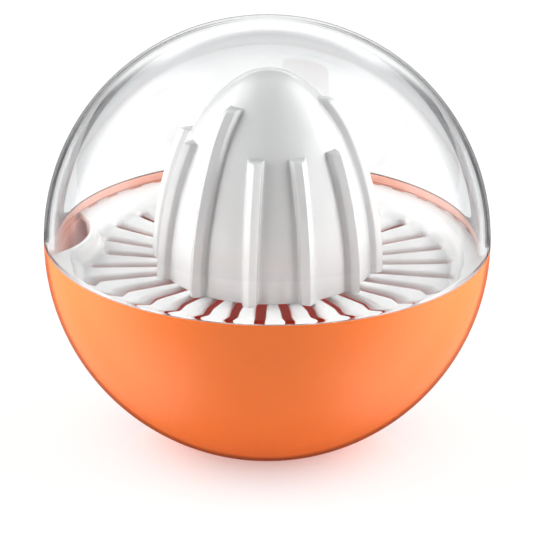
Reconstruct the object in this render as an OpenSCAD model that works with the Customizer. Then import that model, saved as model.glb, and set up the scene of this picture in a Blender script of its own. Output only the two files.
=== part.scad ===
// Ball citrus juicer: a bowl, a slotted strainer dish with a pouring bay, a ribbed reamer cone
// and a clear domed lid that closes the ball. Millimetres, +Z up, origin at the centre of the foot.

/* [Ball] */
// Outer radius of the closed ball
ball_r = 60; // [57:0.5:72]
// Radius of the flat that the bowl stands on
foot_r = 22; // [12:0.5:32]
// Gap between pieces that drop into each other
fit_gap = 0.3; // [0.2:0.05:0.5]

/* [Bowl] */
// Wall of the bowl
bowl_wall = 3; // [2.4:0.1:4]
// Thickness of the bowl's floor
bowl_floor = 3; // [2:0.1:6]
// Wall left outside the step in the bowl's rim
rim_wall = 1.3; // [1:0.1:1.8]

/* [Dome lid] */
// Wall of the dome
dome_wall = 2.6; // [2.4:0.1:3.6]
// Gap left between the dome's tongue and the strainer's flange
tongue_gap = 0.4; // [0.3:0.1:1]

/* [Strainer] */
// Thickness of the strainer's plate, wall and flange
strainer_t = 1.5; // [1.2:0.1:2.4]
// Height of the bowl's rim above the strainer's flange
flange_drop = 2.6; // [1.6:0.1:4]
// Width of the flat flange
flange_w = 5.4; // [4:0.1:7]
// Depth of the dish below its flange
dish_depth = 4.7; // [3:0.1:8]
// Number of juice slots
slot_count = 30; // [18:2:36]
// Width of a juice slot
slot_w = 2.8; // [1.6:0.1:3.4]
// How far the slots run out under the curve of the dish wall
slot_climb = 2.1; // [0.5:0.1:3]
// Number of small notches round the flange
notch_count = 40; // [20:2:60]
// Length of a notch along the flange
notch_w = 4.4; // [2:0.1:5]
// Depth of a notch
notch_depth = 0.7; // [0.3:0.1:1]

/* [Pouring bay] */
// Radius of the bay's curve
bay_r = 22; // [16:0.5:30]
// How far the bay reaches in from the flange's edge
bay_depth = 8.8; // [7:0.1:11]
// Wall round the bay
bay_wall = 2; // [1.4:0.1:3]
// Fillet between the bay's wall and the plate
bay_fillet = 2; // [1:0.1:3]

/* [Reamer] */
// Radius of the cone at its foot
reamer_r = 28.4; // [27:0.1:32]
// Height of the cone above the strainer's plate
reamer_h = 54.7; // [48:0.1:58]
// Height of the rounded crown on top of the flank
crown_h = 18.2; // [16:0.1:22]
// How far the flank leans in where the crown starts, in degrees
flank_lean = 23; // [18:0.5:26]
// Radius of the tip
tip_r = 14.8; // [11:0.1:17]
// Wall of the cone
reamer_wall = 3.2; // [2.4:0.1:4]
// Number of ribs
rib_count = 12; // [6:6:18]
// Width of a rib
rib_w = 3.75; // [2:0.05:5]
// How far a rib's ridge stands out of the cone
rib_proud = 3; // [1.5:0.1:4]
// How far the edges of a rib lie below its ridge
rib_roof = 1.4; // [0.4:0.1:1.5]
// Height of the short ribs above the strainer's plate
short_rib_h = 37.2; // [20:0.1:42]
// Height of the long ribs above the strainer's plate
long_rib_h = 47.9; // [43:0.1:50]

/* [Seat of the cone] */
// How far the hole in the strainer's plate lies inside the edge of the cone's foot
hole_inset = 6.4; // [6:0.1:8]
// Width of the plate between its hole and the slots
hole_rim = 2; // [1.4:0.1:2.4]
// Height of a key above the strainer's plate, inside the cone
key_h = 3; // [1:0.1:6]

/* [Hidden] */
$fn = 96;

orange = [0.96, 0.5, 0.2];
white = [0.95, 0.95, 0.94];
clear = [0.85, 0.9, 0.93, 0.3];

// Overshoot of a cut past the face that it opens
over = 1;

// Heights below are measured from the seam, where the bowl meets the dome
seam_z = sqrt(ball_r ^ 2 - foot_r ^ 2);
floor_top = bowl_floor - seam_z;
step_r = ball_r - rim_wall;
tongue_r = step_r - fit_gap;
tongue_depth = flange_drop - tongue_gap;
dome_in_r = ball_r - dome_wall;

flange_r = step_r - fit_gap;
flange_top = -flange_drop;
flange_bottom = flange_top - strainer_t;
plate_top = flange_top - dish_depth;
plate_bottom = plate_top - strainer_t;
dish_r = flange_r - flange_w - dish_depth;
dish_outer_r = dish_r + dish_depth + strainer_t;
bay_centre = flange_r - bay_depth + bay_r;

hole_r = reamer_r - hole_inset;
slot_in_r = hole_r + hole_rim;
slot_out_r = dish_r + slot_climb;

// The cone's outline is three arcs that run into each other: flank, shoulder and tip
flank_h = reamer_h - crown_h;
flank_arc_r = flank_h / sin(flank_lean);
flank_centre = [reamer_r - flank_arc_r, 0];
lean_dir = [cos(flank_lean), sin(flank_lean)];
flank_end = flank_centre + flank_arc_r * lean_dir;
tip_centre = [0, reamer_h - tip_r];
tip_to_flank = flank_end - tip_centre;
shoulder_arc_r = (tip_to_flank * tip_to_flank - tip_r ^ 2) / (2 * (tip_to_flank * lean_dir - tip_r));
shoulder_centre = flank_end - shoulder_arc_r * lean_dir;
tip_dir = (tip_centre - shoulder_centre) / (shoulder_arc_r - tip_r);

// Part of a disc between two heights, on the outer side of the axis
module disc_slice(centre, r, low, high) {
    intersection() {
        translate(centre) circle(r);
        translate([0, low]) square([centre[0] + r + over, high - low]);
    }
}

// Outline of the cone, moved outwards by grow, with its foot at height 0
module cone_outline(grow) {
    flank_high = flank_centre[1] + (flank_arc_r + grow) * lean_dir[1];
    shoulder_high = shoulder_centre[1] + (shoulder_arc_r + grow) * tip_dir[1];
    disc_slice(flank_centre, flank_arc_r + grow, 0, flank_high);
    disc_slice(shoulder_centre, shoulder_arc_r + grow, flank_high, shoulder_high);
    disc_slice(tip_centre, tip_r + grow, shoulder_high, reamer_h + grow);
}

// Stretch of a rib with a roof-shaped face, along an arc of the cone's outline
module rib_stretch(centre, r, start, end) {
    inner = r - reamer_wall / 2;
    edge = r + rib_proud - rib_roof;
    half = rib_w / 2;
    translate([centre[0], centre[1], 0]) rotate([0, 0, start]) rotate_extrude(angle = end - start)
        polygon([[inner, -half], [edge, -half], [r + rib_proud, 0], [edge, half], [inner, half]]);
}

module rib(top) {
    tip_turn = atan2(tip_dir[1], tip_dir[0]);
    rotate([90, 0, 0]) intersection() {
        union() {
            rib_stretch(flank_centre, flank_arc_r, 0, flank_lean);
            rib_stretch(shoulder_centre, shoulder_arc_r, flank_lean, tip_turn);
        }
        translate([0, 0, -rib_w]) cube([reamer_r + rib_proud + over, top, 2 * rib_w]);
    }
}

// Keys under the cone's foot that drop into two of the slots, so that the cone stays in its place
module keys() {
    key_start = slot_in_r + fit_gap;
    key_end = reamer_r - 2 * fit_gap;
    key_w = slot_w - 2 * fit_gap;
    for (turn = [0, 180])
        rotate(turn) translate([key_start, -key_w / 2, -strainer_t])
            cube([key_end - key_start, key_w, strainer_t + key_h]);
}

// Half section of the dish: plate, curved wall and flange
module dish_section() {
    wall_centre = [dish_r, flange_top];
    translate([hole_r, plate_bottom]) square([dish_r - hole_r, strainer_t]);
    intersection() {
        translate([dish_r, plate_bottom]) square([dish_depth + strainer_t, dish_depth + strainer_t]);
        difference() {
            translate(wall_centre) circle(dish_depth + strainer_t);
            translate(wall_centre) circle(dish_depth);
        }
    }
    translate([dish_outer_r - strainer_t, flange_bottom])
        square([flange_r - dish_outer_r + strainer_t, strainer_t]);
}

module slots() {
    for (i = [0 : slot_count - 1])
        rotate(i * 360 / slot_count) translate([0, 0, plate_bottom - over]) {
            translate([slot_in_r, -slot_w / 2, 0])
                cube([slot_out_r - slot_w / 2 - slot_in_r, slot_w, dish_depth + strainer_t]);
            translate([slot_out_r - slot_w / 2, 0, 0]) cylinder(h = dish_depth + strainer_t, d = slot_w);
        }
}

module notches() {
    pitch = 360 / notch_count;
    for (i = [0 : notch_count - 1])
        rotate((i + 0.5) * pitch)
            translate([flange_r - notch_depth, -notch_w / 2, flange_bottom - over])
                cube([notch_depth + over, notch_w, strainer_t + 2 * over]);
}

// Wall that follows the bay, with a fillet where it meets the plate
module bay_wall_ring() {
    foot_corner = [bay_r + bay_wall, plate_top];
    intersection() {
        translate([-bay_centre, 0, 0]) rotate_extrude() {
            translate([bay_r - over, plate_bottom])
                square([bay_wall + over, flange_top - plate_bottom]);
            difference() {
                translate(foot_corner) square(bay_fillet);
                translate(foot_corner + [bay_fillet, bay_fillet]) circle(bay_fillet);
            }
        }
        translate([0, 0, plate_bottom])
            cylinder(h = dish_depth + strainer_t, r = dish_outer_r - strainer_t / 2);
    }
}

module juice_bowl() {
    color(orange) translate([0, 0, seam_z]) difference() {
        intersection() {
            sphere(ball_r);
            translate([0, 0, -seam_z]) cylinder(h = seam_z, r = ball_r);
        }
        intersection() {
            sphere(ball_r - bowl_wall);
            translate([0, 0, floor_top]) cylinder(h = seam_z, r = ball_r);
        }
        translate([0, 0, flange_bottom]) cylinder(h = seam_z, r = step_r);
    }
}

module strainer() {
    color(white) translate([0, 0, seam_z]) difference() {
        union() {
            difference() {
                rotate_extrude() dish_section();
                slots();
                notches();
            }
            bay_wall_ring();
        }
        translate([-bay_centre, 0, plate_bottom - over]) cylinder(h = ball_r, r = bay_r);
    }
}

module reamer() {
    ribs_per_long = rib_count / 3;
    color(white) translate([0, 0, seam_z + plate_top]) {
        rotate_extrude() difference() {
            cone_outline(0);
            cone_outline(-reamer_wall);
        }
        for (i = [0 : rib_count - 1])
            rotate(i * 360 / rib_count) rib(i % ribs_per_long == 0 ? long_rib_h : short_rib_h);
        keys();
    }
}

module dome_lid() {
    color(clear) translate([0, 0, seam_z]) {
        difference() {
            intersection() {
                sphere(ball_r);
                cylinder(h = ball_r, r = ball_r);
            }
            sphere(dome_in_r);
        }
        rotate_extrude() translate([dome_in_r, -tongue_depth]) square([tongue_r - dome_in_r, tongue_depth]);
    }
}

juice_bowl();
strainer();
reamer();
dome_lid();
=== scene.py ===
"""Looks of a ball citrus juicer: orange bowl, slotted white strainer, ribbed white reamer and clear dome."""

from math import asin, atan2, cos, degrees, hypot, pi, radians, sin, sqrt, tau

import bmesh
import bpy
from bpy.props import FloatProperty, FloatVectorProperty, IntProperty, PointerProperty
from mathutils import Matrix, Vector


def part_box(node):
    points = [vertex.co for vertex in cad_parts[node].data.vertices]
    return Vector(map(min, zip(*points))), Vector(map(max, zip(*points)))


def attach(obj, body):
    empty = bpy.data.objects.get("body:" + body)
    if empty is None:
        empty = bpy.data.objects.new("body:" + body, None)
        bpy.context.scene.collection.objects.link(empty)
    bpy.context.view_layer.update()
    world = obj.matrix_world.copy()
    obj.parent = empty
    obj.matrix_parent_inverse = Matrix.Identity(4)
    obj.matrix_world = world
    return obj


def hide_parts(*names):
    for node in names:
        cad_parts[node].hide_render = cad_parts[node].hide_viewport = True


bl_info = {
    "name": "Ball Citrus Juicer",
    "version": (1, 0, 0),
    "blender": (4, 5, 0),
    "location": "View3D > Sidebar > Juicer",
    "description": "Builds the bowl, strainer, reamer and dome of a ball citrus juicer on a white stage",
    "category": "Object",
}

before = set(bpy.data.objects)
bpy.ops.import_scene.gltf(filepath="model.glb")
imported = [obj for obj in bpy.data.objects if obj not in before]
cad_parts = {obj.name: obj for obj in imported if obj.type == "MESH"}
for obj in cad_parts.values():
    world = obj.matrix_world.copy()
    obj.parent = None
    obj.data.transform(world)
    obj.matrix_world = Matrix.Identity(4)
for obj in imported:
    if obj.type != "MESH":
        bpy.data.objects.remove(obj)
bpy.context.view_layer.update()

MM = 0.001

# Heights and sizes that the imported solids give
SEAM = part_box("juice_bowl")[1].z
FLANGE_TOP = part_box("strainer")[1].z
KEY_LOW, REAMER_TOP = (corner.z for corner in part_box("reamer"))
TONGUE_LOW, DOME_TOP = (corner.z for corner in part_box("dome_lid"))
BALL_R = DOME_TOP - SEAM

# Vertices closer than this are one vertex, and edges bent more than this stay crisp
WELD = 0.002 * MM
CRISP_ANGLE = radians(38)


def length(name, description, default):
    """A size in metres that a user can change."""
    return FloatProperty(
        name=name, description=description, default=default, min=0.0, unit="LENGTH", precision=5
    )


def colour(name, description, default):
    """A colour that a user can change."""
    return FloatVectorProperty(
        name=name, description=description, default=default, size=3, min=0.0, max=1.0, subtype="COLOR"
    )


def count(name, description, default, low, high):
    """A number of repeats that a user can change."""
    return IntProperty(name=name, description=description, default=default, min=low, max=high)


def brightness(name, description, default):
    """A brightness that a user can change."""
    return FloatProperty(name=name, description=description, default=default, min=0.0)


class BowlSizes(bpy.types.PropertyGroup):
    """Sizes and colour of the bowl."""

    wall: length("Wall", "Thickness of the bowl's wall", 3 * MM)
    floor: length("Floor", "Thickness of the bowl's floor", 3 * MM)
    rim_wall: length("Rim wall", "Wall left outside the step in the rim", 1.3 * MM)
    step_drop: length("Step depth", "Depth of the step that carries the strainer", 4.1 * MM)
    foot_fillet: length("Foot fillet", "Rounding between the foot and the ball", 4 * MM)
    floor_fillet: length("Floor fillet", "Rounding between the floor and the wall inside", 6 * MM)
    edge: length("Edge", "Rounding of the rim's edges", 0.25 * MM)
    tint: colour("Colour", "Colour of the orange plastic", (0.95, 0.2, 0.034))
    # Painted reflection: the inner wall is tinted paler, a painted veil standing in for the dome's reflection
    # over it
    painted_veil_tint: colour("Inner wall", "Colour of the inner wall near the rim", (0.82, 0.36, 0.26))
    # Painted shade: the bowl under the strainer is tinted a deeper red, standing in for the shade and
    # coloured bounce light there
    painted_deep_tint: colour("Inside", "Colour of the bowl under the strainer", (0.93, 0.08, 0.012))


class StrainerSizes(bpy.types.PropertyGroup):
    """Sizes and colour of the strainer."""

    thickness: length("Thickness", "Thickness of the plate, wall and flange", 1.5 * MM)
    flange_r: length("Flange radius", "Outer radius of the flange", 58.4 * MM)
    flange_w: length("Flange width", "Width of the flat flange", 5.4 * MM)
    dish_depth: length("Dish depth", "Depth of the dish below its flange", 4.7 * MM)
    slot_count: count("Slots", "Number of juice slots", 30, 12, 60)
    slot_w: length("Slot width", "Width of a juice slot", 2.8 * MM)
    slot_climb: length("Slot climb", "How far the slots run out under the curved wall", 2.1 * MM)
    notch_count: count("Notches", "Number of notches round the flange", 40, 8, 60)
    notch_depth: length("Notch depth", "Depth of a notch in the flange's edge", 0.7 * MM)
    bay_r: length("Bay radius", "Radius of the pouring bay's curve", 22 * MM)
    bay_depth: length("Bay depth", "How far the bay reaches in from the flange's edge", 8.8 * MM)
    bay_wall: length("Bay wall", "Thickness of the wall round the bay", 2 * MM)
    bay_fillet: length("Bay fillet", "Rounding between the bay's wall and the plate", 2 * MM)
    hole_r: length("Hole radius", "Radius of the hole under the cone", 22 * MM)
    hole_rim: length("Hole rim", "Width of the plate between its hole and the slots", 2 * MM)
    edge: length("Edge", "Rounding of the upper edges", 0.45 * MM)
    tint: colour("Colour", "Colour of the strainer's white plastic", (0.93, 0.93, 0.925))


class ReamerSizes(bpy.types.PropertyGroup):
    """Sizes and colour of the reamer."""

    foot_r: length("Foot radius", "Radius of the cone at its foot", 28.4 * MM)
    height: length("Height", "Height of the cone above the strainer's plate", 54.7 * MM)
    crown_h: length("Crown height", "Height of the rounded crown on top of the flank", 18.2 * MM)
    flank_lean: FloatProperty(
        name="Flank lean", description="How far the flank leans in where the crown starts",
        default=radians(23), subtype="ANGLE",
    )
    tip_r: length("Tip radius", "Radius of the tip", 14.8 * MM)
    wall: length("Wall", "Thickness of the cone's wall", 3.2 * MM)
    rib_count: count("Ribs", "Number of ribs", 12, 3, 18)
    rib_w: length("Rib width", "Width of a rib", 3.75 * MM)
    rib_proud: length("Rib height", "How far a rib's ridge stands out of the cone", 3 * MM)
    rib_roof: length("Rib roof", "How far a rib's sides lie below its ridge", 1.4 * MM)
    short_rib_h: length("Short rib", "Height of the short ribs above the plate", 37.2 * MM)
    long_rib_h: length("Long rib", "Height of the long ribs above the plate", 47.9 * MM)
    edge: length("Edge", "Rounding of the ribs' edges", 0.45 * MM)
    key_r: length("Key radius", "Radius at which the keys under the cone start", 24.3 * MM)
    key_l: length("Key length", "Length of a key, away from the axis", 3.5 * MM)
    key_w: length("Key width", "Width of a key", 2.2 * MM)
    key_h: length("Key height", "Height of a key above the strainer's plate", 3 * MM)
    # Painted shade: the reamer is the same white plastic as the strainer, set darker to stand in for the
    # shade under the dome
    tint: colour("Colour", "Colour of the reamer's white plastic", (0.745, 0.748, 0.748))


class DomeSizes(bpy.types.PropertyGroup):
    """Sizes and colour of the dome."""

    wall: length("Wall", "Thickness of the dome's wall", 2.6 * MM)
    tongue_r: length("Tongue radius", "Outer radius of the tongue under the dome's edge", 58.4 * MM)
    flare_r: length("Mouth flare", "Radius of the flare inside the dome's mouth", 56 * MM)
    flare_h: length("Flare height", "Height above the seam where the flare starts", 3.2 * MM)
    bead_r: length("Mouth bead", "Radius of the hollow above the bead at the dome's mouth", 9 * MM)
    bead_h: length("Bead height", "Height above the seam where the bead starts", 1.3 * MM)
    edge: length("Edge", "Rounding of the dome's edges", 0.2 * MM)
    tint: colour("Colour", "Colour of the clear plastic", (0.985, 0.993, 0.995))
    # Painted shade: grey at a slant, standing in for the dark surroundings that the dome's edges refract and
    # mirror
    painted_slant_tint: colour("Slant colour", "Colour of the clear plastic seen at a slant", (0.86, 0.875, 0.885))


class StageLooks(bpy.types.PropertyGroup):
    """Floor and light of the stage."""

    floor_size: length("Floor size", "Side of the floor", 8.0)
    floor_tint: colour("Floor", "Colour of the floor", (0.8, 0.8, 0.8))
    soft_light: brightness("Side light", "Brightness of the side soft boxes", 5.5)
    top_light: brightness("Top light", "Brightness of the top soft box", 0.13)
    fill_light: brightness("Fill light", "Brightness of the surroundings", 0.14)


# Mesh tools that the pieces share

def spaced(start, end, steps):
    """Evenly spaced values from start to end, both included."""
    return [start + (end - start) * i / steps for i in range(steps + 1)]


def arc(centre, radius, start, end, steps):
    """Points (r, z) along an arc between two angles in degrees, measured from the outward direction."""
    turns = spaced(radians(start), radians(end), steps)
    return [(centre[0] + radius * cos(t), centre[1] + radius * sin(t)) for t in turns]


def edge_drop(edge, distance):
    """How far a rounded edge lies below the flat face, at a distance in from the edge."""
    inside = min(max(distance, 0.0), edge)
    return edge - sqrt(edge ** 2 - (edge - inside) ** 2)


def skin(bm, grid):
    """Quads over a grid of points. Points that coincide are welded when the piece is made."""
    rows = [[bm.verts.new(point) for point in row] for row in grid]
    for low, high in zip(rows, rows[1:]):
        for i in range(len(low) - 1):
            bm.faces.new((low[i], low[i + 1], high[i + 1], high[i]))


def lathe(outline, segments):
    """A skin turned round the Z axis from an outline of (r, z) points."""
    bm = bmesh.new()
    angles = spaced(0, tau, segments)
    skin(bm, [[(r * cos(a), r * sin(a), z) for a in angles] for r, z in outline])
    return bm


def add_to_scene(name, data):
    """A new object in the scene."""
    made = bpy.data.objects.new(name, data)
    bpy.context.scene.collection.objects.link(made)
    return made


def make_piece(name, bm, finish, node, body):
    """Turns a skin into a smooth object that stands for a CAD node and moves with its body."""
    bmesh.ops.remove_doubles(bm, verts=bm.verts, dist=WELD)
    bmesh.ops.dissolve_degenerate(bm, edges=bm.edges, dist=WELD / 10)
    bmesh.ops.recalc_face_normals(bm, faces=bm.faces)
    open_edges = sum(not edge.is_manifold for edge in bm.edges)
    if open_edges:
        raise RuntimeError(f"{name} has {open_edges} open edges")
    mesh = bpy.data.meshes.new(name)
    bm.to_mesh(mesh)
    bm.free()
    mesh.shade_smooth()
    mesh.set_sharp_from_angle(angle=CRISP_ANGLE)
    mesh.materials.append(finish.material)
    piece = add_to_scene(name, mesh)
    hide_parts(node)
    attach(piece, body)
    return piece


# Bowl

# Steps of the bowl's mesh round the axis
BOWL_SEGMENTS = 224


def bowl_outline(s):
    """Half section of the bowl, from the middle of its foot round the rim to the middle of its floor."""
    ball = (0, SEAM)
    inner_r = BALL_R - s.wall
    step_r = BALL_R - s.rim_wall
    step_z = SEAM - s.step_drop
    foot = (sqrt((BALL_R - s.foot_fillet) ** 2 - (SEAM - s.foot_fillet) ** 2), s.foot_fillet)
    foot_turn = degrees(atan2(foot[1] - SEAM, foot[0]))
    fillet_z = s.floor + s.floor_fillet
    fillet = (sqrt((inner_r - s.floor_fillet) ** 2 - (SEAM - fillet_z) ** 2), fillet_z)
    fillet_turn = degrees(atan2(fillet[1] - SEAM, fillet[0]))
    rim_turn = -degrees(asin(s.edge / BALL_R))
    ledge_turn = -degrees(asin(s.step_drop / inner_r))
    outline = [(0, 0)]
    outline += arc(foot, s.foot_fillet, -90, foot_turn, 6)
    outline += arc(ball, BALL_R, foot_turn, rim_turn, 80)
    outline += arc((BALL_R - s.edge, SEAM - s.edge), s.edge, 0, 90, 5)
    outline += arc((step_r + s.edge, SEAM - s.edge), s.edge, 90, 180, 5)
    outline.append((step_r, step_z))
    outline += arc(ball, inner_r, ledge_turn, fillet_turn, 60)
    outline += arc(fillet, s.floor_fillet, fillet_turn, -90, 8)
    outline.append((0, s.floor))
    return outline


# Dome

# Steps of the dome's mesh round the axis
DOME_SEGMENTS = 288


def dome_outline(s):
    """Half section of the dome, from its outer top round its edge and tongue to its inner top."""
    ball = (0, SEAM)
    inner_r = BALL_R - s.wall
    edge_turn = degrees(asin(s.edge / BALL_R))
    flare_turn = degrees(asin(s.flare_h / inner_r))
    flare = ((inner_r + s.flare_r) * cos(radians(flare_turn)), SEAM + s.flare_h * (1 + s.flare_r / inner_r))
    bead_turn = degrees(asin((flare[1] - SEAM - s.bead_h) / s.flare_r))
    bead_reach = s.flare_r + s.bead_r
    bead = (flare[0] - bead_reach * cos(radians(bead_turn)), flare[1] - bead_reach * sin(radians(bead_turn)))
    mouth_turn = degrees(asin((SEAM - bead[1]) / s.bead_r))
    mouth = arc(bead, s.bead_r, mouth_turn, bead_turn, 8)
    mouth += arc(flare, s.flare_r, 180 + bead_turn, 180 + flare_turn, 10)[1:]
    mouth_r = mouth[0][0]
    lip_r = min(s.edge, (s.tongue_r - mouth_r) / 2)
    outline = arc(ball, BALL_R, 90, edge_turn, 96)
    outline += arc((BALL_R - s.edge, SEAM + s.edge), s.edge, 0, -90, 4)
    outline.append((s.tongue_r, SEAM))
    outline += arc((s.tongue_r - lip_r, TONGUE_LOW + lip_r), lip_r, 0, -90, 3)
    outline += arc((mouth_r + lip_r, TONGUE_LOW + lip_r), lip_r, -90, -180, 3)
    outline += mouth
    outline += arc(ball, inner_r, flare_turn, 90, 96)
    return outline


# Strainer

# Columns of the strainer's mesh between a slot and the middle of the land beside it
LAND_COLUMNS = 8

# Rounding of a slot's edge with its columns, length of its inner end, and rounding of the hole with its rows
SLOT_EDGE = 0.8 * MM
SLOT_EDGE_COLUMNS = (0, 0.15 * MM, 0.4 * MM, SLOT_EDGE)
SLOT_INNER_END = 0.4 * MM
HOLE_EDGE = 0.3 * MM
HOLE_EDGE_ROWS = (0, 0.1 * MM, HOLE_EDGE, 1.6 * MM)

# How far the bay's wall leans, rows down its fillet, and where the dish's curved wall ends under its edge
BAY_SLOPE = 0.15 * MM
BAY_FILLET_ROWS = (1.5 * MM, 1.0 * MM, 0.65 * MM, 0.45 * MM)
WALL_TOP_TURN = radians(84.5)

# Rows over the rounded edges of the dish and the flange, as shares of the rounding
DISH_EDGE_SHARES = (0.15, 0.4, 0.7, 1.0)
FLANGE_EDGE_SHARES = (1.2, 1.0, 0.6, 0.25, 0)

# Shares of the notches' spacing: half a notch, the column beside it, and how far out columns are drawn to it
NOTCH_HALF = 0.26
NOTCH_SIDE = 0.265
NOTCH_REACH = 0.4


class StrainerPlan:
    """Heights and radii of the strainer, worked out from its sizes."""

    def __init__(self, s):
        self.s = s
        self.flange_top = FLANGE_TOP
        self.flange_bottom = self.flange_top - s.thickness
        self.plate_top = self.flange_top - s.dish_depth
        self.plate_bottom = self.plate_top - s.thickness
        self.dish_r = s.flange_r - s.flange_w - s.dish_depth
        self.dish_edge_r = self.dish_r + s.dish_depth
        self.bay_centre = s.flange_r - s.bay_depth + s.bay_r
        self.slot_half = s.slot_w / 2
        self.pitch = tau / s.slot_count
        self.notch_pitch = tau / s.notch_count
        self.slot_in_x = s.hole_r + s.hole_rim + SLOT_INNER_END
        self.field_r = self.dish_r + s.slot_climb + SLOT_EDGE
        self.wall_end = s.bay_wall - BAY_SLOPE
        self.wall_foot = self.wall_end + 2 * BAY_SLOPE
        self.fillet_off = s.bay_wall + BAY_SLOPE + s.bay_fillet

    def to_bay(self, angle, off):
        """Radius at which a ray from the axis meets the curve that runs a distance outside the bay."""
        across = self.bay_centre * sin(angle - pi)
        reach = self.s.bay_r + off
        if cos(angle - pi) < 0 or abs(across) >= reach:
            return BALL_R
        return self.bay_centre * cos(angle - pi) - sqrt(reach ** 2 - across ** 2)

    def field_end(self, angle):
        """Radius at which the slotted field ends and the curved wall or the bay's wall goes on."""
        return min(self.field_r, self.to_bay(angle, self.fillet_off))

    def slot_tip(self, angle):
        """Radius that a slot reaches."""
        return self.field_end(angle) - SLOT_EDGE

    def notched_r(self, angle):
        """Radius of the flange's edge, smaller inside a notch."""
        from_notch = abs(angle % self.notch_pitch - self.notch_pitch / 2)
        return self.s.flange_r - (self.s.notch_depth if from_notch < self.notch_pitch * NOTCH_HALF else 0)

    def pulled(self, angle):
        """Angle of a column at the flange's edge, drawn in to stand close to the side of a notch."""
        pitch = self.notch_pitch
        offset = angle % pitch - pitch / 2
        if pitch * NOTCH_HALF < abs(offset) < pitch * NOTCH_REACH:
            return angle - offset + (pitch * NOTCH_SIDE if offset > 0 else -pitch * NOTCH_SIDE)
        return angle

    def top(self, x, y):
        """Height of the upper face, without the slots' rounded edges."""
        s = self.s
        r = hypot(x, y)
        out = r - self.dish_r
        dish = self.plate_top
        if r >= self.dish_edge_r:
            dish = self.flange_top - edge_drop(s.edge, r - self.dish_edge_r)
        elif out > 0:
            dish = self.flange_top - max(sqrt(s.dish_depth ** 2 - out ** 2), s.edge)
        off = hypot(x + self.bay_centre, y) - s.bay_r
        bay = self.flange_top - edge_drop(s.edge, self.wall_end - off)
        if off > self.wall_end:
            foot_z = self.plate_top + s.bay_fillet
            along = (off - self.wall_end) / (2 * BAY_SLOPE)
            bay = self.flange_top - s.edge + (foot_z - self.flange_top + s.edge) * min(along, 1)
        if off > self.wall_foot:
            bay = self.plate_top + edge_drop(s.bay_fillet, off - self.wall_foot)
        return max(dish, bay)

    def bottom(self, x, y):
        """Height of the lower face."""
        s = self.s
        r = hypot(x, y)
        outer = s.dish_depth + s.thickness
        out = r - self.dish_r
        off = hypot(x + self.bay_centre, y) - s.bay_r
        if out <= 0 or (off < s.bay_wall and r < self.dish_edge_r + s.thickness / 2):
            return self.plate_bottom
        if out >= outer:
            return self.flange_bottom
        return min(self.flange_bottom, self.flange_top - sqrt(outer ** 2 - out ** 2))

    def slot_rows(self, angle):
        """Slot outline as (distance along the slot, half width), from its inner end to its tip."""
        half = self.slot_half
        tip = self.slot_tip(angle)
        turns = spaced(0, pi / 2, 4)
        rows = [(self.slot_in_x - SLOT_INNER_END * cos(t), half * sin(t)) for t in turns]
        rows += [(x, half) for x in spaced(self.slot_in_x, tip - half, 10)[1:-1]]
        rows += [(tip - half + half * cos(t), half * sin(t)) for t in spaced(pi / 2, 0, 7)]
        return rows

    def slot_distance(self, angle, x, y):
        """Distance from the slot's outline, with x along the slot."""
        outer_x = self.slot_tip(angle) - self.slot_half
        if x > outer_x:
            return hypot(x - outer_x, y) - self.slot_half
        return max(abs(y) - self.slot_half, self.slot_in_x - SLOT_INNER_END - x)


def land_rows(plan, angle, side):
    """Rows of (radius, angle) points from the hole to the flange's edge, over the land beside a slot."""
    s = plan.s
    half_pitch = plan.pitch / 2
    even = spaced(0, half_pitch, LAND_COLUMNS)
    rows = [[(s.hole_r + step, a) for a in even] for step in HOLE_EDGE_ROWS]
    open_slot = plan.slot_rows(angle)
    usual_slot = plan.slot_rows(0)
    past = [(open_slot[-1][0] + step, 0) for step in SLOT_EDGE_COLUMNS[1:]]
    usual_past = [(usual_slot[-1][0] + step, 0) for step in SLOT_EDGE_COLUMNS[1:]]
    mid_scale = (plan.field_end(angle + side * half_pitch) - s.hole_r) / (plan.field_r - s.hole_r)
    for (x, y), (usual_x, usual_y) in zip(open_slot + past, usual_slot + usual_past):
        r, start = hypot(x, y), atan2(y, x)
        mid_r = s.hole_r + (hypot(usual_x, usual_y) - s.hole_r) * mid_scale
        near = [start + step / r for step in SLOT_EDGE_COLUMNS]
        columns = near[:-1] + spaced(near[-1], half_pitch, LAND_COLUMNS - len(near) + 1)
        rows.append([(r + (mid_r - r) * (a - start) / (half_pitch - start), a) for a in columns])
    turns = spaced(asin((plan.field_r - plan.dish_r) / s.dish_depth), WALL_TOP_TURN, 6)
    radii = [plan.dish_r + s.dish_depth * sin(t) for t in turns]
    radii += [plan.dish_edge_r + share * s.edge for share in DISH_EDGE_SHARES]
    offs = [plan.fillet_off]
    offs += [plan.wall_end + step for step in BAY_FILLET_ROWS]
    offs += [plan.wall_foot, plan.wall_end]
    offs += [plan.wall_end - share * s.edge for share in DISH_EDGE_SHARES]
    for radius, off in zip(radii, offs):
        rows.append([(min(radius, plan.to_bay(angle + side * a, off)), a) for a in even])
    for share in FLANGE_EDGE_SHARES:
        inset = share * s.edge
        row = []
        for a in even:
            turn = angle + side * a
            edge_r = min(plan.notched_r(turn) - inset, plan.to_bay(turn, inset))
            row.append((edge_r, side * (plan.pulled(turn) - angle)))
        rows.append(row)
    return rows


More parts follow.
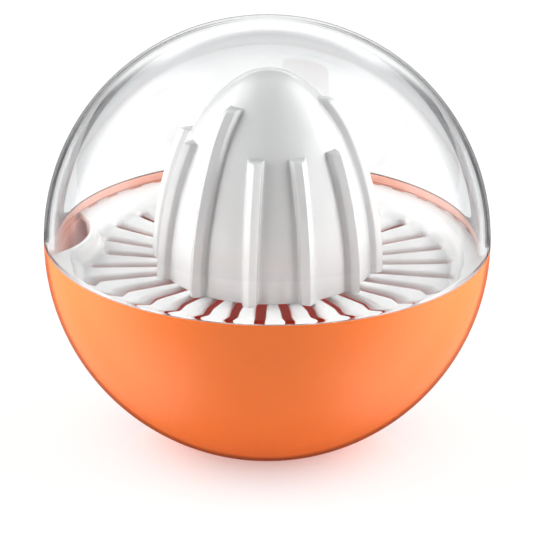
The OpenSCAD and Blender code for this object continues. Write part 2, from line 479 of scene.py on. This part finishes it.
def strainer_skin(plan):
    """Closed skin of the strainer, one slot and its two half lands at a time."""
    s = plan.s
    bm = bmesh.new()
    for k in range(s.slot_count):
        angle = k * plan.pitch
        slot_start = len(HOLE_EDGE_ROWS)
        slot_end = slot_start + len(plan.slot_rows(angle))
        for side in (1, -1):
            rows = land_rows(plan, angle, side)
            flange_start = len(rows) - len(FLANGE_EDGE_SHARES)
            upper, lower = [], []
            for i, row in enumerate(rows):
                upper.append([])
                lower.append([])
                for r, a in row:
                    turn = angle + side * a
                    x, y = r * cos(turn), r * sin(turn)
                    drop = edge_drop(SLOT_EDGE, plan.slot_distance(angle, r * cos(a), r * sin(a)))
                    edge_off = min(plan.notched_r(turn) - r, hypot(x + plan.bay_centre, y) - s.bay_r)
                    drop += edge_drop(s.edge, edge_off) if i >= flange_start else 0
                    drop += edge_drop(HOLE_EDGE, r - s.hole_r)
                    upper[-1].append((x, y, plan.top(x, y) - drop))
                    lower[-1].append((x, y, plan.bottom(x, y)))
            skin(bm, upper)
            skin(bm, lower)
            skin(bm, [upper[-1], lower[-1]])
            wall = range(slot_start, slot_end)
            skin(bm, [[upper[i][0] for i in wall], [lower[i][0] for i in wall]])
            skin(bm, [upper[0], lower[0]])
    return bm


# Reamer

# Columns of the reamer's mesh between two ribs, how far a rib's side leans, and the fillet at its foot
RIB_LAND_COLUMNS = 7
RIB_DRAFT = 0.12 * MM
RIB_FOOT_FILLET = 0.4 * MM

# Points over a rib's face, the two ends of its rounded side edge, and the middle of a rounding, as shares
RIB_FACE_SHARES = (0, 0.5, 0.9)
RIB_EDGE_START = 0.1
RIB_EDGE_END = 0.7
ROUND_MIDDLE = 0.3

# Rows this close to a rib's top give way to the rows that round it
RIB_TOP_NEAR = 0.8 * MM


class ReamerPlan:
    """Arcs of the cone's outline, with heights measured from the strainer's plate."""

    def __init__(self, s):
        self.s = s
        self.plate_z = REAMER_TOP - s.height
        self.key_low = KEY_LOW - self.plate_z
        flank_h = s.height - s.crown_h
        lean = Vector((cos(s.flank_lean), sin(s.flank_lean)))
        self.flank_r = flank_h / sin(s.flank_lean)
        self.flank_centre = Vector((s.foot_r - self.flank_r, 0))
        flank_end = self.flank_centre + self.flank_r * lean
        self.tip_centre = Vector((0, s.height - s.tip_r))
        to_flank = flank_end - self.tip_centre
        self.shoulder_r = (to_flank.length_squared - s.tip_r ** 2) / (2 * (to_flank.dot(lean) - s.tip_r))
        self.shoulder_centre = flank_end - self.shoulder_r * lean
        self.lean_sin = lean.y
        self.tip_sin = (self.tip_centre - self.shoulder_centre).normalized().y
        self.crown_r = self.outline(s.long_rib_h, 0)

    def outline(self, z, grow):
        """Radius of the cone's outline at a height, with the outline moved outwards by grow."""
        centre, radius = self.tip_centre, self.s.tip_r
        if z <= (self.flank_r + grow) * self.lean_sin:
            centre, radius = self.flank_centre, self.flank_r
        elif z <= self.shoulder_centre.y + (self.shoulder_r + grow) * self.tip_sin:
            centre, radius = self.shoulder_centre, self.shoulder_r
        return centre.x + sqrt(max((radius + grow) ** 2 - (z - centre.y) ** 2, 0))

    def heights(self, grow):
        """Heights that follow the three arcs of the outline, from the foot to the tip."""
        flank_top = (self.flank_r + grow) * self.lean_sin
        shoulder_top = self.shoulder_centre.y + (self.shoulder_r + grow) * self.tip_sin
        tip_turns = spaced(asin((shoulder_top - self.tip_centre.y) / (self.s.tip_r + grow)), pi / 2, 16)
        tips = [self.tip_centre.y + (self.s.tip_r + grow) * sin(t) for t in tip_turns]
        return spaced(0, flank_top, 24) + spaced(flank_top, shoulder_top, 12)[1:-1] + tips

    def rib_half(self, inset):
        """Half section of a rib as (distance below its ridge, distance from its middle)."""
        s = self.s
        half = s.rib_w / 2 - inset
        start = s.edge * RIB_EDGE_START
        points = [(s.rib_roof * share, half * share) for share in RIB_FACE_SHARES]
        points += [(s.rib_roof + start, half - start), (s.rib_roof + s.edge * RIB_EDGE_END, half)]
        return points


def reamer_section(plan, z, rib):
    """Half section of one rib and the land beside it as (x, y), where rib is an inset or None for no rib."""
    s = plan.s
    body_r = plan.outline(z, 0)
    half_pitch = pi / s.rib_count
    foot_y = s.rib_w / 2 + RIB_DRAFT
    fillet = RIB_FOOT_FILLET
    spread = [y for drop, y in plan.rib_half(0)]
    spread += [s.rib_w / 2 + RIB_DRAFT / 2, foot_y, foot_y + fillet * ROUND_MIDDLE, foot_y + fillet]
    hold_r = max(body_r, plan.crown_r)
    turns = [asin(y / hold_r) for y in spread]
    turns += spaced(turns[-1], half_pitch, RIB_LAND_COLUMNS)[1:]
    section = [(body_r * cos(t), body_r * sin(t)) for t in turns]
    if rib is None:
        return section
    face_x = plan.outline(z, s.rib_proud) - rib
    points = [(face_x - drop, y) for drop, y in plan.rib_half(rib)]
    side_x, side_y = points[-1]
    foot_x = sqrt(body_r ** 2 - foot_y ** 2) + fillet
    points += [((side_x + foot_x) / 2, (side_y + foot_y) / 2), (foot_x, foot_y)]
    points.append((foot_x - fillet * (1 - ROUND_MIDDLE), foot_y + fillet * ROUND_MIDDLE))
    return points + section[len(points):]


def reamer_rows(plan, rib_h):
    """Rows of (x, y, z) half sections of one rib, from the inside of the tip round the foot to the tip."""
    s = plan.s
    foot = reamer_section(plan, 0, None)
    turns = [atan2(y, x) for x, y in foot]
    rows = []
    for z in reversed(plan.heights(-s.wall)):
        r = plan.outline(z, -s.wall)
        rows.append([(r * cos(t), r * sin(t), z) for t in turns])
    rows.append([(x, y, 0) for x, y in foot])
    tops = (s.short_rib_h, s.long_rib_h)
    marks = []
    middle = ROUND_MIDDLE * s.edge
    for top in tops:
        marks += [(top - s.edge, None, 0), (top - middle, top, middle)]
        marks += [(top, top, s.edge), (top, top, None)]
    plain = [z for z in plan.heights(0) if all(abs(z - top) > RIB_TOP_NEAR for top in tops)]
    levels = sorted([(z, None, 0) for z in plain] + marks, key=lambda level: level[0])
    for z, cut, inset in levels:
        rib = inset if cut == rib_h else (0 if z < rib_h else None)
        rows.append([(x, y, z) for x, y in reamer_section(plan, z, rib)])
    return rows


def reamer_skin(plan):
    """Closed skin of the reamer, one rib at a time."""
    s = plan.s
    bm = bmesh.new()
    ribs_per_long = s.rib_count // 3
    rows_for = {h: reamer_rows(plan, h) for h in (s.short_rib_h, s.long_rib_h)}
    for k in range(s.rib_count):
        rows = rows_for[s.short_rib_h if k % ribs_per_long else s.long_rib_h]
        turn = Matrix.Rotation(k * tau / s.rib_count, 3, "Z")
        for side in (1, -1):
            skin(bm, [[turn @ Vector((x, side * y, z + plan.plate_z)) for x, y, z in row] for row in rows])
    key_size = Vector((s.key_l, s.key_w, s.key_h - plan.key_low))
    for side in (1, -1):
        middle = Vector((side * (s.key_r + s.key_l / 2), 0, plan.plate_z + (s.key_h + plan.key_low) / 2))
        bmesh.ops.create_cube(bm, size=1, matrix=Matrix.LocRotScale(middle, None, key_size))
    return bm


# Finishes

class Nodes:
    """Adds linked nodes to a node tree."""

    def __init__(self, tree):
        self.tree = tree

    def find(self, kind):
        """The tree's own node of a kind."""
        return next(node for node in self.tree.nodes if node.type == kind)

    def feed(self, socket, value):
        """Links another node's output to a socket, or sets the socket's value."""
        if isinstance(value, bpy.types.NodeSocket):
            self.tree.links.new(value, socket)
        else:
            socket.default_value = value

    def add(self, kind, inputs=None, **settings):
        """A new node with its settings and inputs."""
        node = self.tree.nodes.new(kind)
        for key, value in settings.items():
            setattr(node, key, value)
        for key, value in (inputs or {}).items():
            self.feed(node.inputs[key], value)
        return node

    def math(self, operation, first, second=0.0):
        """Result of an operation on one or two numbers."""
        return self.add("ShaderNodeMath", {0: first, 1: second}, operation=operation).outputs[0]

    def measure(self, operation, first, second=(0, 0, 0)):
        """A number worked out from one or two vectors."""
        return self.add("ShaderNodeVectorMath", {0: first, 1: second}, operation=operation).outputs["Value"]

    def ramp(self, value, start, end, low=0.0, high=1.0, shape="LINEAR"):
        """Goes from low to high while a value goes from start to end."""
        inputs = {"Value": value, "From Min": start, "From Max": end, "To Min": low, "To Max": high}
        return self.add("ShaderNodeMapRange", inputs, interpolation_type=shape).outputs["Result"]

    def mix(self, share, first, second, blend="MIX"):
        """Blends two colours, each an output or three numbers."""
        node = self.add("ShaderNodeMix", {"Factor": share}, data_type="RGBA", blend_type=blend)
        for key, value in (("A", first), ("B", second)):
            self.feed(node.inputs[key], value if isinstance(value, bpy.types.NodeSocket) else (*value, 1))
        return node.outputs["Result"]


class Finish(Nodes):
    """Node material with a principled shader."""

    def __init__(self, name):
        self.material = bpy.data.materials.new(name)
        self.material.use_nodes = True
        super().__init__(self.material.node_tree)
        self.shader = self.find("BSDF_PRINCIPLED")

    def shade(self, inputs):
        """Sets or links inputs of the shader."""
        for key, value in inputs.items():
            self.feed(self.shader.inputs[key], value)

    def place(self):
        """Place of a point on the object."""
        return self.add("ShaderNodeTexCoord").outputs["Object"]

    def slant(self):
        """0 where the surface faces the view, rising to 1 at its outline."""
        return self.add("ShaderNodeLayerWeight", {"Blend": 0.5}).outputs["Facing"]

    def noise(self, scale, detail):
        """Soft random pattern over the object."""
        inputs = {"Vector": self.place(), "Scale": scale, "Detail": detail}
        return self.add("ShaderNodeTexNoise", inputs).outputs["Fac"]

    def bump(self, height, distance, strength):
        """Small ups and downs of the surface."""
        inputs = {"Height": height, "Distance": distance, "Strength": strength}
        self.shade({"Normal": self.add("ShaderNodeBump", inputs).outputs["Normal"]})


# Moulded plastic: scale and detail of its clouds, gloss and grain, and the slants between which a painted
# shade darkens it
CLOUDS = (38.0, 3.0)
GLOSS = (160.0, 4.0)
GLOSS_RANGE = (0.3, 0.7)
GLOSS_SPREAD = 0.1
GRAIN = (2600.0, 2.0)
GRAIN_STRENGTH = 0.25
MOULDED_SLANT = (0.35, 0.8)
MOULDED_IOR = 1.5


def moulded_plastic(name, tint, shade, painted_slant_shade, roughness, shine, grain_height):
    """Moulded plastic: faint clouds in the colour, painted shade at a slant, uneven gloss and a fine grain.
    """
    finish = Finish(name)
    clouded = finish.mix(finish.noise(*CLOUDS), tint, [c * shade for c in tint])
    # Painted shade: the colour darkens where the surface is seen at a slant
    slanted = finish.ramp(finish.slant(), *MOULDED_SLANT)
    smooth, rough = roughness * (1 - GLOSS_SPREAD), roughness * (1 + GLOSS_SPREAD)
    finish.shade({
        "Base Color": finish.mix(slanted, clouded, [painted_slant_shade] * 3, "MULTIPLY"),
        "Roughness": finish.ramp(finish.noise(*GLOSS), *GLOSS_RANGE, smooth, rough),
        "IOR": MOULDED_IOR,
        "Specular IOR Level": shine,
    })
    finish.bump(finish.noise(*GRAIN), grain_height, GRAIN_STRENGTH)
    return finish


# Painted shade and glow low inside the bowl, standing in for the light that comes through its wall and
# bounces round inside: the depths under the rim between which they set in, and the glow's strength
DEEP_START = 12 * MM
DEEP_END = 20 * MM
PAINTED_DEEP_GLOW = 0.05

# Painted shade along the bowl's outline, standing in for the dark surroundings that it mirrors at a slant,
# and the slants between which it sets in
PAINTED_EDGE_SHADE = (0.55, 0.45, 0.3)
EDGE_SLANT = (0.8, 0.85)


def paint_bowl_light(finish, s):
    """Painted glow and shade low inside the bowl, a painted pale veil on the inner wall near the rim, and
    painted shade along the edges at a slant.
    """
    place = finish.place()
    from_centre = finish.measure("DISTANCE", place, (0, 0, SEAM))
    inside = finish.ramp(from_centre, BALL_R - s.rim_wall / 3, BALL_R - s.rim_wall / 2)
    height = finish.add("ShaderNodeSeparateXYZ", {0: place}).outputs["Z"]
    deep = finish.math("MULTIPLY", inside, finish.ramp(height, SEAM - DEEP_START, SEAM - DEEP_END))
    tint = finish.shader.inputs["Base Color"].links[0].from_socket
    # Painted veil on the inner wall, then painted shade low inside and along the outline
    tint = finish.mix(inside, tint, s.painted_veil_tint)
    tint = finish.mix(deep, tint, s.painted_deep_tint)
    tint = finish.mix(finish.ramp(finish.slant(), *EDGE_SLANT), tint, PAINTED_EDGE_SHADE, "MULTIPLY")
    finish.shade({
        "Base Color": tint,
        "Emission Color": (*s.painted_deep_tint, 1),
        "Emission Strength": finish.math("MULTIPLY", deep, PAINTED_DEEP_GLOW),
    })


# Clear plastic: scale, detail, height and strength of its waves, and the slants between which a painted grey
# sets in
WAVES = (22.0, 1.0)
WAVE_HEIGHT = 0.02 * MM
WAVE_STRENGTH = 0.2
CLEAR_SLANT = (0.4, 0.54)
CLEAR_IOR = 1.49


def clear_plastic(name, tint, painted_slant_tint):
    """Polished clear plastic with a painted grey at a slant, standing in for the dark surroundings that its
    edges show, and the faint waviness that moulding leaves.
    """
    finish = Finish(name)
    finish.bump(finish.noise(*WAVES), WAVE_HEIGHT, WAVE_STRENGTH)
    # Painted grey where the surface is seen at a slant
    finish.shade({
        "Base Color": finish.mix(finish.ramp(finish.slant(), *CLEAR_SLANT), tint, painted_slant_tint),
        "Transmission Weight": 1.0,
        "Roughness": 0.0,
        "IOR": CLEAR_IOR,
    })
    return finish


# Stage

# The photograph's camera: its lens and sensor in millimetres, and where it stands
LENS = 251.1
SENSOR = 36
VIEW_TURN = radians(8.65)
VIEW_HEIGHT = radians(22.37)
VIEW_ROLL = radians(0.69)
VIEW_DISTANCE = 1.0
VIEW_OFFSET = (-0.2 * MM, -7.71 * MM)


def view_level():
    """Level directions to the right of the view and away from the camera."""
    level = Vector((cos(VIEW_TURN), sin(VIEW_TURN), 0))
    return level, Vector((-sin(VIEW_TURN), cos(VIEW_TURN), 0))


def view_axes():
    """Right, up and back directions of the photograph's camera."""
    level, forward = view_level()
    back = sin(VIEW_HEIGHT) * Vector((0, 0, 1)) - cos(VIEW_HEIGHT) * forward
    right = cos(VIEW_ROLL) * level + sin(VIEW_ROLL) * back.cross(level)
    return right, back.cross(right), back


def add_camera():
    """Camera at the photograph's viewing angle."""
    right, up, back = view_axes()
    data = bpy.data.cameras.new("camera")
    data.lens = LENS
    data.sensor_width = SENSOR
    camera = add_to_scene("camera", data)
    aim = Vector((0, 0, SEAM)) + VIEW_OFFSET[0] * right + VIEW_OFFSET[1] * up
    turn = Matrix((right, up, back)).transposed().to_4x4()
    camera.matrix_world = Matrix.Translation(aim + VIEW_DISTANCE * back) @ turn
    bpy.context.scene.camera = camera


# Soft boxes in metres: where they stand, the height that the side ones face, and their widths and heights
SIDE_BOX_TURN = radians(100)
SIDE_BOX_DISTANCE = 0.55
SIDE_BOX_HEIGHT = 0.25
SIDE_BOX_AIM = 0.32
SIDE_BOX_SIZE = (1.05, 0.84)
TOP_BOX_BEHIND = 0.08
TOP_BOX_HEIGHT = 0.75
TOP_BOX_SIZE = (1.0, 0.95)


def around(turn, distance, z):
    """Point at a turn from the camera's side of the object, seen from above, left being positive."""
    angle = VIEW_TURN - pi / 2 - turn
    return Vector((distance * cos(angle), distance * sin(angle), z))


def add_soft_box(name, place, aim, size, radiance):
    """Large soft light that faces a point and isn't seen by the camera or mirrored."""
    data = bpy.data.lights.new(name, "AREA")
    data.shape = "RECTANGLE"
    data.size, data.size_y = size
    data.energy = radiance * pi * size[0] * size[1]
    light = add_to_scene(name, data)
    light.location = place
    light.rotation_euler = (aim - place).to_track_quat("-Z", "Y").to_euler()
    light.visible_camera = False
    light.visible_glossy = False
    light.visible_transmission = False


def seen_rays(nodes):
    """1 for rays that show a surface to the camera, straight or by way of gloss and clear plastic."""
    path = nodes.add("ShaderNodeLightPath").outputs
    straight_or_gloss = nodes.math("MAXIMUM", path["Is Camera Ray"], path["Is Glossy Ray"])
    return nodes.math("MAXIMUM", straight_or_gloss, path["Is Transmission Ray"])


# The floor as it is seen: its own glow, and the share of its colour that takes light and shadow
FLOOR_GLOW = 0.8
FLOOR_SHOWN = 0.25

# Close to the object the floor mirrors it and has a painted glow that lights its underside: how much, between
# which radii, and how fast it fades
PAINTED_CONTACT_GLOW = 0.9
MIRROR_SHARE = 0.65
MIRROR_NEAR = 20 * MM
MIRROR_FAR = 65 * MM
MIRROR_FADE = 3.0
MIRROR_BLUR = 0.08


def floor_finish(tint):
    """White floor that keeps the object's shadow, mirrors it faintly close by and has a painted glow there
    that lights the object's underside.
    """
    finish = Finish("white_floor")
    near = finish.ramp(finish.measure("LENGTH", finish.place()), MIRROR_FAR, MIRROR_NEAR)
    fade = finish.math("POWER", near, MIRROR_FADE)
    # Painted glow near the foot, shown only to light that bounces off the floor, lights the object's
    # underside
    finish.shade({
        "Base Color": (*tint, 1),
        "Roughness": 1.0,
        "Specular IOR Level": 0.0,
        "Emission Color": (1, 1, 1, 1),
        "Emission Strength": finish.math("MULTIPLY", fade, PAINTED_CONTACT_GLOW),
    })
    lit = finish.shader.outputs[0]
    plain = finish.add("ShaderNodeBsdfDiffuse", {"Color": (*(c * FLOOR_SHOWN for c in tint), 1)}).outputs[0]
    glow = finish.add("ShaderNodeEmission", {"Strength": FLOOR_GLOW}).outputs[0]
    shown = finish.add("ShaderNodeAddShader", {0: plain, 1: glow}).outputs[0]
    white = finish.add("ShaderNodeMixShader", {0: seen_rays(finish), 1: lit, 2: shown}).outputs[0]
    mirror = finish.add("ShaderNodeBsdfGlossy", {"Roughness": MIRROR_BLUR}).outputs[0]
    share = finish.math("MULTIPLY", fade, MIRROR_SHARE)
    surface = finish.add("ShaderNodeMixShader", {0: share, 1: white, 2: mirror}).outputs[0]
    finish.feed(finish.find("OUTPUT_MATERIAL").inputs["Surface"], surface)
    return finish


def stage_piece(name, bm, finish):
    """Object that belongs to the stage."""
    mesh = bpy.data.meshes.new(name)
    bm.to_mesh(mesh)
    bm.free()
    mesh.materials.append(finish.material)
    piece = add_to_scene(name, mesh)
    return piece


def add_floor(size, tint):
    """Flat floor under the object, left out of mirrors."""
    half = size / 2
    bm = bmesh.new()
    skin(bm, [[(x, y, 0) for x in (-half, half)] for y in (-half, half)])
    floor = stage_piece("floor", bm, floor_finish(tint))
    floor.visible_glossy = False


# Flags in metres: how far behind the ball they stand, radii of their edges, and where they start and end
FLAG_BEHIND = 0.12
FLAG_NEAR = 0.085
FLAG_FAR = 0.118
FLAG_LOW = radians(-25)
FLAG_HIGH = radians(85)
FLAG_STEPS = 17
FLAG_TINT = (0.14, 0.145, 0.155)


def add_flag(name, side):
    """Dark crescent card just outside the view that draws the edges of the clear and glossy pieces."""
    finish = Finish(name)
    finish.shade({"Base Color": (*FLAG_TINT, 1), "Roughness": 1.0, "Specular IOR Level": 0.0})
    right, up, back = view_axes()
    middle = Vector((0, 0, SEAM)) - FLAG_BEHIND * back
    edges = [[], []]
    for turn in spaced(FLAG_LOW, FLAG_HIGH, FLAG_STEPS):
        outwards = side * cos(turn) * right + sin(turn) * up
        taper = max(turn / FLAG_HIGH, 0) ** 2
        edges[0].append(middle + (FLAG_NEAR + (FLAG_FAR - FLAG_NEAR) * taper) * outwards)
        edges[1].append(middle + FLAG_FAR * outwards)
    bm = bmesh.new()
    skin(bm, edges)
    flag = stage_piece(name, bm, finish)
    flag.visible_camera = False
    flag.visible_diffuse = False
    flag.visible_shadow = False


# Brightness of the surroundings in gloss and clear plastic: the backdrop, what its upper part has more,
# the sides, the table, what lies between them, and the share that is left on the camera's side
SHOWN_BACK = 1.1
SHOWN_HIGH = 0.5
SHOWN_SIDES = 1.5
SHOWN_TABLE = 0.65
SHOWN_DIM = 0.04
SHOWN_FRONT = 0.06

# Where those areas start or end, as parts of a ray of length 1: aside, up, level forward or along the view
BACK_ASIDE = (sin(radians(18)), sin(radians(28)))
BACK_TOP = (sin(radians(19)), sin(radians(27)))
BACK_FOOT = (-0.3, -0.1)
BACK_FORWARD = (0.0, 0.2)
BACK_BRIGHTER = (0.12, 0.26)
SIDES_ASIDE = (0.25, 0.6)
SIDES_AHEAD = (cos(radians(65)), cos(radians(57)))
TABLE_UP = (-0.35, -0.12)
TABLE_ASIDE = (0.27, 0.46)
FRONT_AHEAD = (cos(radians(112)), cos(radians(92)))


def light_surroundings(fill):
    """White backdrop, sides and table, darker between them and in front, and an even diffuse fill."""
    world = bpy.data.worlds.new("studio")
    bpy.context.scene.world = world
    world.use_nodes = True
    nodes = Nodes(world.node_tree)
    background = nodes.find("BACKGROUND")
    ray = nodes.add("ShaderNodeTexCoord").outputs["Generated"]

    def ramp(value, ends, low=0.0, high=1.0):
        return nodes.ramp(value, *ends, low, high, "SMOOTHSTEP")

    def product(first, *others):
        for other in others:
            first = nodes.math("MULTIPLY", first, other)
        return first

    def blend(share, low, high):
        rest = nodes.math("SUBTRACT", 1.0, share)
        return nodes.math("ADD", product(rest, low), product(share, high))

    level, forward = view_level()
    ahead = nodes.measure("DOT_PRODUCT", ray, -view_axes()[2])
    aside = nodes.math("ABSOLUTE", nodes.measure("DOT_PRODUCT", ray, level))
    rise = nodes.measure("DOT_PRODUCT", ray, (0, 0, 1))
    inwards = nodes.measure("DOT_PRODUCT", ray, forward)
    backdrop = product(
        ramp(aside, BACK_ASIDE, 1.0, 0.0),
        ramp(rise, BACK_TOP, 1.0, 0.0),
        ramp(rise, BACK_FOOT),
        ramp(inwards, BACK_FORWARD),
        ramp(rise, BACK_BRIGHTER, SHOWN_BACK, SHOWN_BACK + SHOWN_HIGH),
    )
    beside = product(ramp(aside, SIDES_ASIDE), ramp(ahead, SIDES_AHEAD, 1.0, 0.0))
    sides = blend(beside, SHOWN_DIM, SHOWN_SIDES)
    table = product(ramp(rise, TABLE_UP, SHOWN_TABLE, 0.0), ramp(aside, TABLE_ASIDE))
    shown = nodes.math("MAXIMUM", backdrop, nodes.math("MAXIMUM", sides, table))
    shown = product(shown, ramp(ahead, FRONT_AHEAD, SHOWN_FRONT))
    strength = blend(seen_rays(nodes), fill, shown)
    camera_rays = nodes.add("ShaderNodeLightPath").outputs["Is Camera Ray"]
    nodes.feed(background.inputs["Color"], (1, 1, 1, 1))
    nodes.feed(background.inputs["Strength"], blend(camera_rays, strength, 1.0))


# Operators, one for each piece and one for the stage

class JUICER_OT_bowl(bpy.types.Operator):
    """Builds the orange bowl"""

    bl_idname = "juicer.bowl"
    bl_label = "Build Bowl"

    def execute(self, context):
        s = context.scene.juicer_bowl
        finish = moulded_plastic(
            "orange_plastic", s.tint, shade=0.96, painted_slant_shade=1.0,
            roughness=0.32, shine=0.5, grain_height=0.003 * MM,
        )
        paint_bowl_light(finish, s)
        made = lathe(bowl_outline(s), BOWL_SEGMENTS)
        make_piece("bowl_shell", made, finish, "juice_bowl", "bowl")
        return {"FINISHED"}


class JUICER_OT_strainer(bpy.types.Operator):
    """Builds the slotted strainer with its pouring bay"""

    bl_idname = "juicer.strainer"
    bl_label = "Build Strainer"

    def execute(self, context):
        s = context.scene.juicer_strainer
        finish = moulded_plastic(
            "strainer_white", s.tint, shade=0.985, painted_slant_shade=1.0,
            roughness=0.16, shine=0.8, grain_height=0.002 * MM,
        )
        made = strainer_skin(StrainerPlan(s))
        make_piece("strainer_dish", made, finish, "strainer", "strainer")
        return {"FINISHED"}


class JUICER_OT_reamer(bpy.types.Operator):
    """Builds the ribbed reamer cone with its keys"""

    bl_idname = "juicer.reamer"
    bl_label = "Build Reamer"

    def execute(self, context):
        s = context.scene.juicer_reamer
        finish = moulded_plastic(
            "reamer_white", s.tint, shade=0.985, painted_slant_shade=0.72,
            roughness=0.14, shine=0.9, grain_height=0.002 * MM,
        )
        made = reamer_skin(ReamerPlan(s))
        make_piece("reamer_cone", made, finish, "reamer", "reamer")
        return {"FINISHED"}


class JUICER_OT_dome(bpy.types.Operator):
    """Builds the clear dome"""

    bl_idname = "juicer.dome"
    bl_label = "Build Dome"

    def execute(self, context):
        s = context.scene.juicer_dome
        finish = clear_plastic("clear_dome", s.tint, s.painted_slant_tint)
        made = lathe(dome_outline(s), DOME_SEGMENTS)
        dome = make_piece("dome_shell", made, finish, "dome_lid", "dome")
        dome.visible_shadow = False
        dome.visible_diffuse = False
        return {"FINISHED"}


class JUICER_OT_stage(bpy.types.Operator):
    """Adds the camera, the white floor and the soft light"""

    bl_idname = "juicer.stage"
    bl_label = "Set Stage"

    def execute(self, context):
        s = context.scene.juicer_stage
        add_camera()
        add_floor(s.floor_size, s.floor_tint)
        side_aim = Vector((0, 0, SIDE_BOX_AIM))
        for name, side in (("left", -1), ("right", 1)):
            place = around(-side * SIDE_BOX_TURN, SIDE_BOX_DISTANCE, SIDE_BOX_HEIGHT)
            add_soft_box(f"{name}_soft_box", place, side_aim, SIDE_BOX_SIZE, s.soft_light)
            add_flag(f"{name}_flag", side)
        above = around(pi, TOP_BOX_BEHIND, TOP_BOX_HEIGHT)
        add_soft_box("top_soft_box", above, above - Vector((0, 0, 1)), TOP_BOX_SIZE, s.top_light)
        light_surroundings(s.fill_light)
        context.scene.view_settings.view_transform = "Standard"
        return {"FINISHED"}


class JUICER_PT_build(bpy.types.Panel):
    """Buttons and sizes of the juicer's pieces"""

    bl_idname = "JUICER_PT_build"
    bl_label = "Ball Citrus Juicer"
    bl_space_type = "VIEW_3D"
    bl_region_type = "UI"
    bl_category = "Juicer"

    def draw(self, context):
        for operator, group in PIECES:
            box = self.layout.box()
            box.operator(operator.bl_idname)
            sizes = getattr(context.scene, group)
            for name in sizes.__annotations__:
                box.prop(sizes, name)


PIECES = (
    (JUICER_OT_bowl, "juicer_bowl"),
    (JUICER_OT_strainer, "juicer_strainer"),
    (JUICER_OT_reamer, "juicer_reamer"),
    (JUICER_OT_dome, "juicer_dome"),
    (JUICER_OT_stage, "juicer_stage"),
)
GROUPS = (
    ("juicer_bowl", BowlSizes),
    ("juicer_strainer", StrainerSizes),
    ("juicer_reamer", ReamerSizes),
    ("juicer_dome", DomeSizes),
    ("juicer_stage", StageLooks),
)


def register():
    for name, group in GROUPS:
        bpy.utils.register_class(group)
        setattr(bpy.types.Scene, name, PointerProperty(type=group))
    for operator, group in PIECES:
        bpy.utils.register_class(operator)
    bpy.utils.register_class(JUICER_PT_build)


def unregister():
    bpy.utils.unregister_class(JUICER_PT_build)
    for operator, group in reversed(PIECES):
        bpy.utils.unregister_class(operator)
    for name, group in reversed(GROUPS):
        delattr(bpy.types.Scene, name)
        bpy.utils.unregister_class(group)


def main():
    register()
    bpy.ops.juicer.bowl()
    bpy.ops.juicer.strainer()
    bpy.ops.juicer.reamer()
    bpy.ops.juicer.dome()
    bpy.ops.juicer.stage()


if __name__ == "__main__":
    main()
